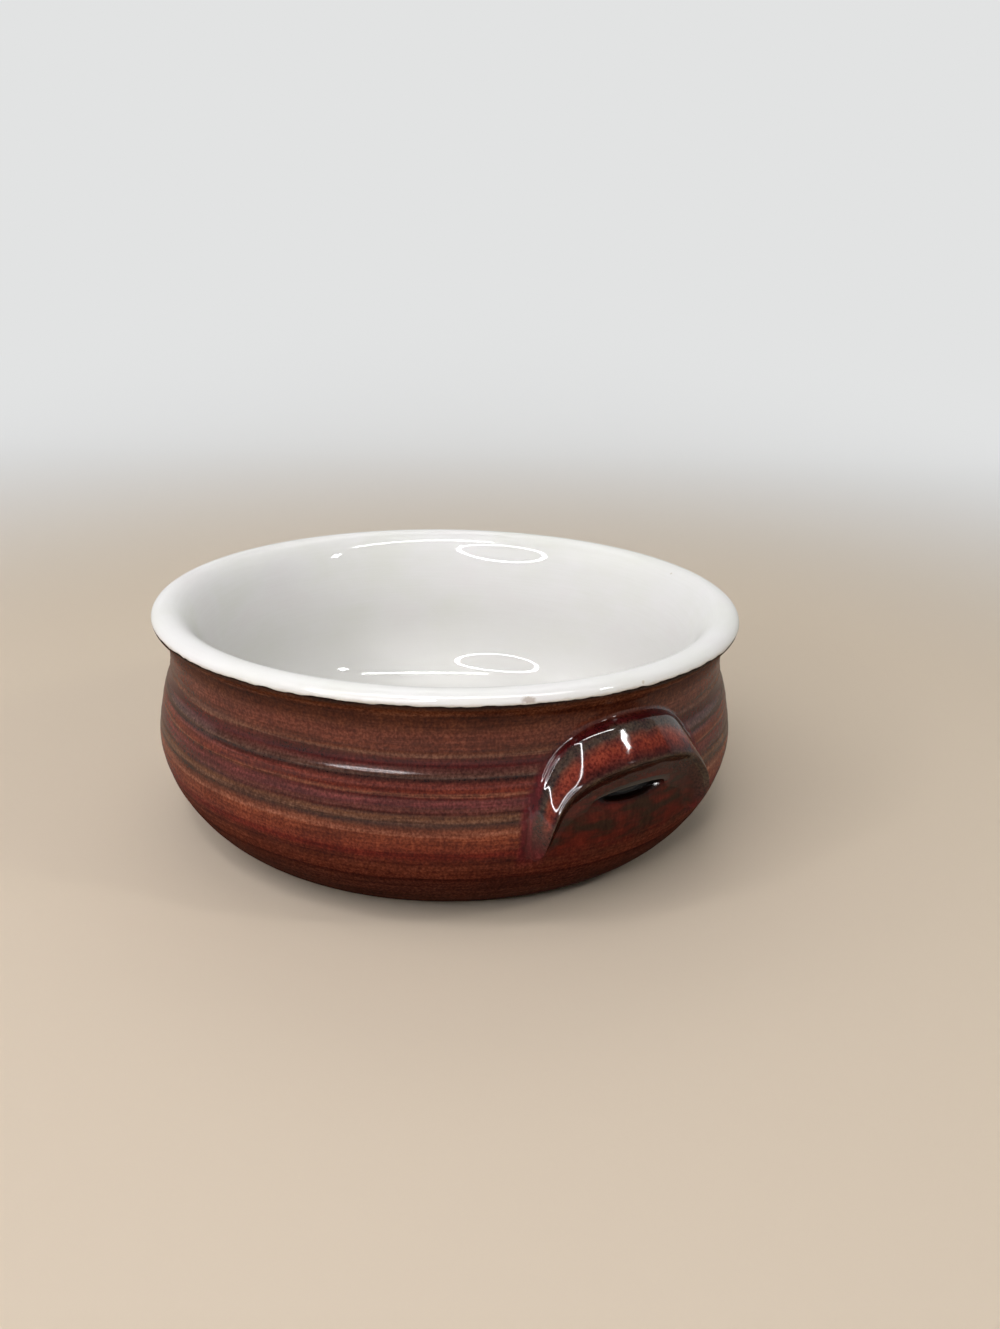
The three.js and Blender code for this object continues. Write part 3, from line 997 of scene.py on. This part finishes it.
def linerFinish():
    material, tree, shader, vector = startMaterial("whiteLinerGlaze")
    place = splitPlace(tree, vector)
    height = heightOf(tree, place)
    cloud = speckle(tree, vector, *white["cloudNoise"])
    colour = colourRamp(tree, cloud, paints(white["tones"]))
    turning = speckle(tree, vector, *white["turning"])
    colour = tintColour(tree, colour, turning, *white["turningTints"])
    cells = addNode(tree, "ShaderNodeTexVoronoi")
    feed(tree, cells, Vector=vector, Scale=white["pinholeScale"])
    pinhole = fadeOut(tree, cells.outputs["Distance"], *white["pinholeSize"])
    patch = speckle(tree, vector, *white["pinholePatch"])
    pinhole = work(tree, "MULTIPLY", pinhole, work(tree, "GREATER_THAN", patch, white["pinholeAbove"]))
    colour = blendColours(tree, pinhole, colour, paint(*white["pinholeTone"]))
    radius = work(tree, "DIVIDE", farFrom(tree, place["X"], place["Y"]), mm)
    outside = fadeIn(tree, radius, *white["thinRadii"])
    uneven = sway(tree, speckle(tree, vector, *white["thinNoise"]), white["thinSway"])
    thin = fadeOut(tree, work(tree, "ADD", height, uneven), *white["thinHeights"], white["thinShare"])
    brown = work(tree, "MULTIPLY", outside, thin)
    colour = blendColours(tree, brown, colour, paint(*white["thinTone"]))
    colour = blendColours(tree, kilnMark(tree, vector), colour, paint(*mark["tone"]))
    # painted shade: the white is greyed towards the bottom of the bowl
    bowlShade = fadeOut(tree, height, *white["bowlShadeHeights"], white["bowlShadeShare"])
    colour = blendColours(tree, bowlShade, colour, paint(*white["bowlShadeTone"]))
    feed(tree, shader, **{
        "Base Color": colour,
        "Roughness": mapRange(tree, cloud, *white["rough"]),
        "Specular IOR Level": 0.0,
        "Coat Weight": white["coatWeight"],
        "Coat IOR": white["coatIor"],
        "Coat Roughness": white["coatRough"],
    })
    ripple = speckle(tree, vector, *white["rippleNoise"])
    addBump(tree, shader, ripple, white["rippleBump"], white["rippleDepth"])
    return material


# Bare gritty clay of the foot
bareClay = {
    "cloudNoise": (14, 1, 3.0),
    "tones": [(0.3, (166, 138, 108)), (0.55, (182, 152, 120)), (0.75, (152, 122, 94))],
    "gritNoise": (0.5, 1, 3.0),
    "gritTints": (1.0, [(0.3, (0.55, 0.5, 0.46)), (0.45, (0.95, 0.94, 0.93)), (0.7, (1.12, 1.12, 1.1))]),
    "rough": (0.3, 0.7, 0.75, 0.95),
    "bump": 0.5,
    "bumpDepth": 0.12,
}


def clayFinish():
    material, tree, shader, vector = startMaterial("bareStoneware")
    grit = speckle(tree, vector, *bareClay["gritNoise"])
    tone = colourRamp(tree, speckle(tree, vector, *bareClay["cloudNoise"]), paints(bareClay["tones"]))
    colour = tintColour(tree, tone, grit, *bareClay["gritTints"])
    feed(tree, shader, **{"Base Color": colour, "Roughness": mapRange(tree, grit, *bareClay["rough"])})
    addBump(tree, shader, grit, bareClay["bump"], bareClay["bumpDepth"])
    return material


giveFinish(outerCoat, bandedFinish())
giveFinish(lugCoat, lugFinish())
giveFinish(linerCoat, linerFinish())
giveFinish(crockBody, clayFinish())
print("finishes given")

for piece, slot, nodes in (
    (crockBody, "clay", ["crock_body"]),
    (linerCoat, "white_glaze", ["liner_glaze"]),
    (outerCoat, "red_brown_glaze", ["outer_glaze"]),
    (lugCoat, "lug_red_glaze", ["lug_handle", "luting_coil", "lug_glaze"]),
):
    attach(piece, "root")
    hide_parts(*nodes)

# Studio: pale sweep, soft lamps and an even sky, in metres
studio = {
    "width": 12.0,
    "front": 8.0,
    "back": 0.85,  # from the crock to the rise of the sweep
    "rise": 2.0,
    "corner": 0.35,
    "cornerSteps": 16,
    "drop": 0.0002,  # the sweep lies just under the foot
    "facing": -33,  # degrees from +X to the viewer
    "floorPaper": (207, 192, 172),
    "backPaper": (226, 227, 227),
    "paperRough": 0.8,
    "paperShine": 0.2,
    "paleFrom": 0.16,  # the floor grows pale between these distances from the crock
    "paleTo": 0.75,
    "underFoot": 0.044,  # the sweep is open under the foot
    "sky": 0.27,
    "skyTint": (1.0, 1.0, 0.98, 1),
    "target": (0, 0, 0.025),
    "lamps": [  # name, shape, width, height, power, degrees from +X, degrees up, distance, spin, tint
        ("ringLamp", "DISK", 0.54, 0.54, 23.0, -65, 43, 0.75, 0, (0.98, 0.97, 1.0)),
        ("rightPanel", "RECTANGLE", 0.05, 0.09, 0.95, 33, 38, 0.9, 0, (1.0, 1.0, 0.98)),
        ("stripLamp", "RECTANGLE", 0.8, 0.05, 4.0, -4, 71, 0.95, -29, (1.0, 1.0, 0.98)),
        ("sideSoftbox", "RECTANGLE", 0.8, 0.5, 1.3, -125, 42, 1.2, 0, (1.0, 0.98, 1.0)),
        ("topSoftbox", "RECTANGLE", 0.6, 0.6, 1.35, -33, 82, 1.2, 0, (1.0, 0.99, 0.97)),
        ("backSoftbox", "RECTANGLE", 0.8, 0.5, 1.4, 150, 55, 1.2, 0, (1.0, 0.99, 0.98)),
    ],
    "ringFrom": 0.447,  # inner edge of the ring on the disk, where the rim is 0.5
}


def blendShaders(tree, share, first, second):
    node = addNode(tree, "ShaderNodeMixShader")
    return feed(tree, node, s0=share, s1=first.outputs[0], s2=second.outputs[0])


def paperFinish():
    material, tree, shader, vector = startMaterial("palePaper")
    floorPaper, backPaper = paint(*studio["floorPaper"]), paint(*studio["backPaper"])
    away = workVector(tree, "LENGTH", vector)["Value"]
    pale = fadeIn(tree, away, studio["paleFrom"], studio["paleTo"])
    feed(tree, shader, **{
        "Base Color": blendColours(tree, pale, floorPaper, backPaper),
        "Roughness": studio["paperRough"],
        "Specular IOR Level": studio["paperShine"],
    })
    # far off, the paper shows its own even colour in the view and in reflections
    path = addNode(tree, "ShaderNodeLightPath").outputs
    seen = work(tree, "MAXIMUM", path["Is Camera Ray"], path["Is Glossy Ray"])
    seen = work(tree, "MAXIMUM", seen, path["Is Transmission Ray"])
    glow = feed(tree, addNode(tree, "ShaderNodeEmission"), Color=backPaper, Strength=1.0)
    even = blendShaders(tree, work(tree, "MULTIPLY", seen, pale), shader, glow)
    # clear from behind and under the foot, which is then lit and seen from below
    behind = addNode(tree, "ShaderNodeNewGeometry").outputs["Backfacing"]
    gone = work(tree, "MAXIMUM", behind, work(tree, "LESS_THAN", away, studio["underFoot"]))
    either = blendShaders(tree, gone, even, addNode(tree, "ShaderNodeBsdfTransparent"))
    feed(tree, tree.nodes["Material Output"], Surface=either.outputs[0])
    return material


def pickEdges(piece, wanted):
    # selects the edges whose two ends are both wanted
    bpy.ops.mesh.select_all(action="DESELECT")
    bpy.ops.object.mode_set(mode="OBJECT")
    for edge in piece.data.edges:
        edge.select = all(wanted(piece.data.vertices[i].co) for i in edge.vertices)
    bpy.ops.object.mode_set(mode="EDIT")
    bpy.ops.mesh.select_mode(type="EDGE")


def laySweep():
    bpy.ops.object.select_all(action="DESELECT")
    bpy.ops.mesh.primitive_plane_add(size=1)
    sweep = bpy.context.object
    sweep.name = sweep.data.name = "studioSweep"
    bpy.ops.object.mode_set(mode="EDIT")
    bpy.ops.mesh.select_all(action="SELECT")
    bpy.ops.transform.resize(value=(studio["front"] + studio["back"], studio["width"], 1))
    bpy.ops.transform.translate(value=((studio["front"] - studio["back"]) / 2, 0, -studio["drop"]))
    pickEdges(sweep, lambda spot: spot.x < 0)
    bpy.ops.mesh.extrude_edges_move(TRANSFORM_OT_translate={"value": (0, 0, studio["rise"])})
    pickEdges(sweep, lambda spot: spot.x < 0 and spot.z < 0.01)
    bpy.ops.mesh.bevel(offset=studio["corner"], segments=studio["cornerSteps"], profile=0.5)
    bpy.ops.mesh.select_all(action="SELECT")
    bpy.ops.mesh.normals_make_consistent(inside=False)
    bpy.ops.object.mode_set(mode="OBJECT")
    if sum(face.normal.z for face in sweep.data.polygons) < 0:
        sweep.data.flip_normals()
    sweep.rotation_euler.z = math.radians(studio["facing"])
    bpy.ops.object.transform_apply(rotation=True)
    bpy.ops.object.shade_smooth()
    giveFinish(sweep, paperFinish())


def maskRing(lamp):
    # light only from a ring near the rim of the disk
    lamp.data.use_nodes = True
    tree = lamp.data.node_tree
    face = splitPlace(tree, addNode(tree, "ShaderNodeNewGeometry").outputs["Parametric"])
    across = work(tree, "SUBTRACT", face["X"], 0.5)
    along = work(tree, "SUBTRACT", face["Y"], 0.5)
    onRing = work(tree, "GREATER_THAN", farFrom(tree, across, along), studio["ringFrom"])
    feed(tree, tree.nodes["Emission"], Strength=onRing)


def hangLamps():
    target = Vector(studio["target"])
    for name, shape, width, height, power, azimuth, tilt, distance, spin, tint in studio["lamps"]:
        turn, lift = math.radians(azimuth), math.radians(tilt)
        reach = distance * math.cos(lift)
        spot = target + Vector((math.cos(turn) * reach, math.sin(turn) * reach, math.sin(lift) * distance))
        bpy.ops.object.light_add(type="AREA", location=spot)
        lamp = bpy.context.object
        lamp.name = lamp.data.name = name
        lamp.data.shape = shape
        lamp.data.size = width
        if shape == "RECTANGLE":
            lamp.data.size_y = height
        else:
            maskRing(lamp)
        lamp.data.energy = power
        lamp.data.color = tint
        aim = (target - spot).to_track_quat("-Z", "Y")
        lamp.rotation_euler = (aim @ Quaternion((0, 0, 1), math.radians(spin))).to_euler()
        lamp.visible_diffuse = name != "stripLamp"  # the strip is only a gleam in the glaze


def lightSky():
    world = bpy.data.worlds.new("studioSky")
    world.use_nodes = True
    bpy.context.scene.world = world
    tree = world.node_tree
    sky = feed(tree, tree.nodes["Background"], Color=studio["skyTint"], Strength=studio["sky"])
    # past the edge of the sweep the view is as pale as the paper
    seen = addNode(tree, "ShaderNodeLightPath").outputs["Is Camera Ray"]
    paper = addNode(tree, "ShaderNodeBackground")
    feed(tree, paper, Color=paint(*studio["backPaper"]), Strength=1.0)
    either = blendShaders(tree, seen, sky, paper)
    feed(tree, tree.nodes["World Output"], Surface=either.outputs[0])


laySweep()
hangLamps()
lightSky()
bpy.context.scene.view_settings.view_transform = "Standard"
print("studio lit")
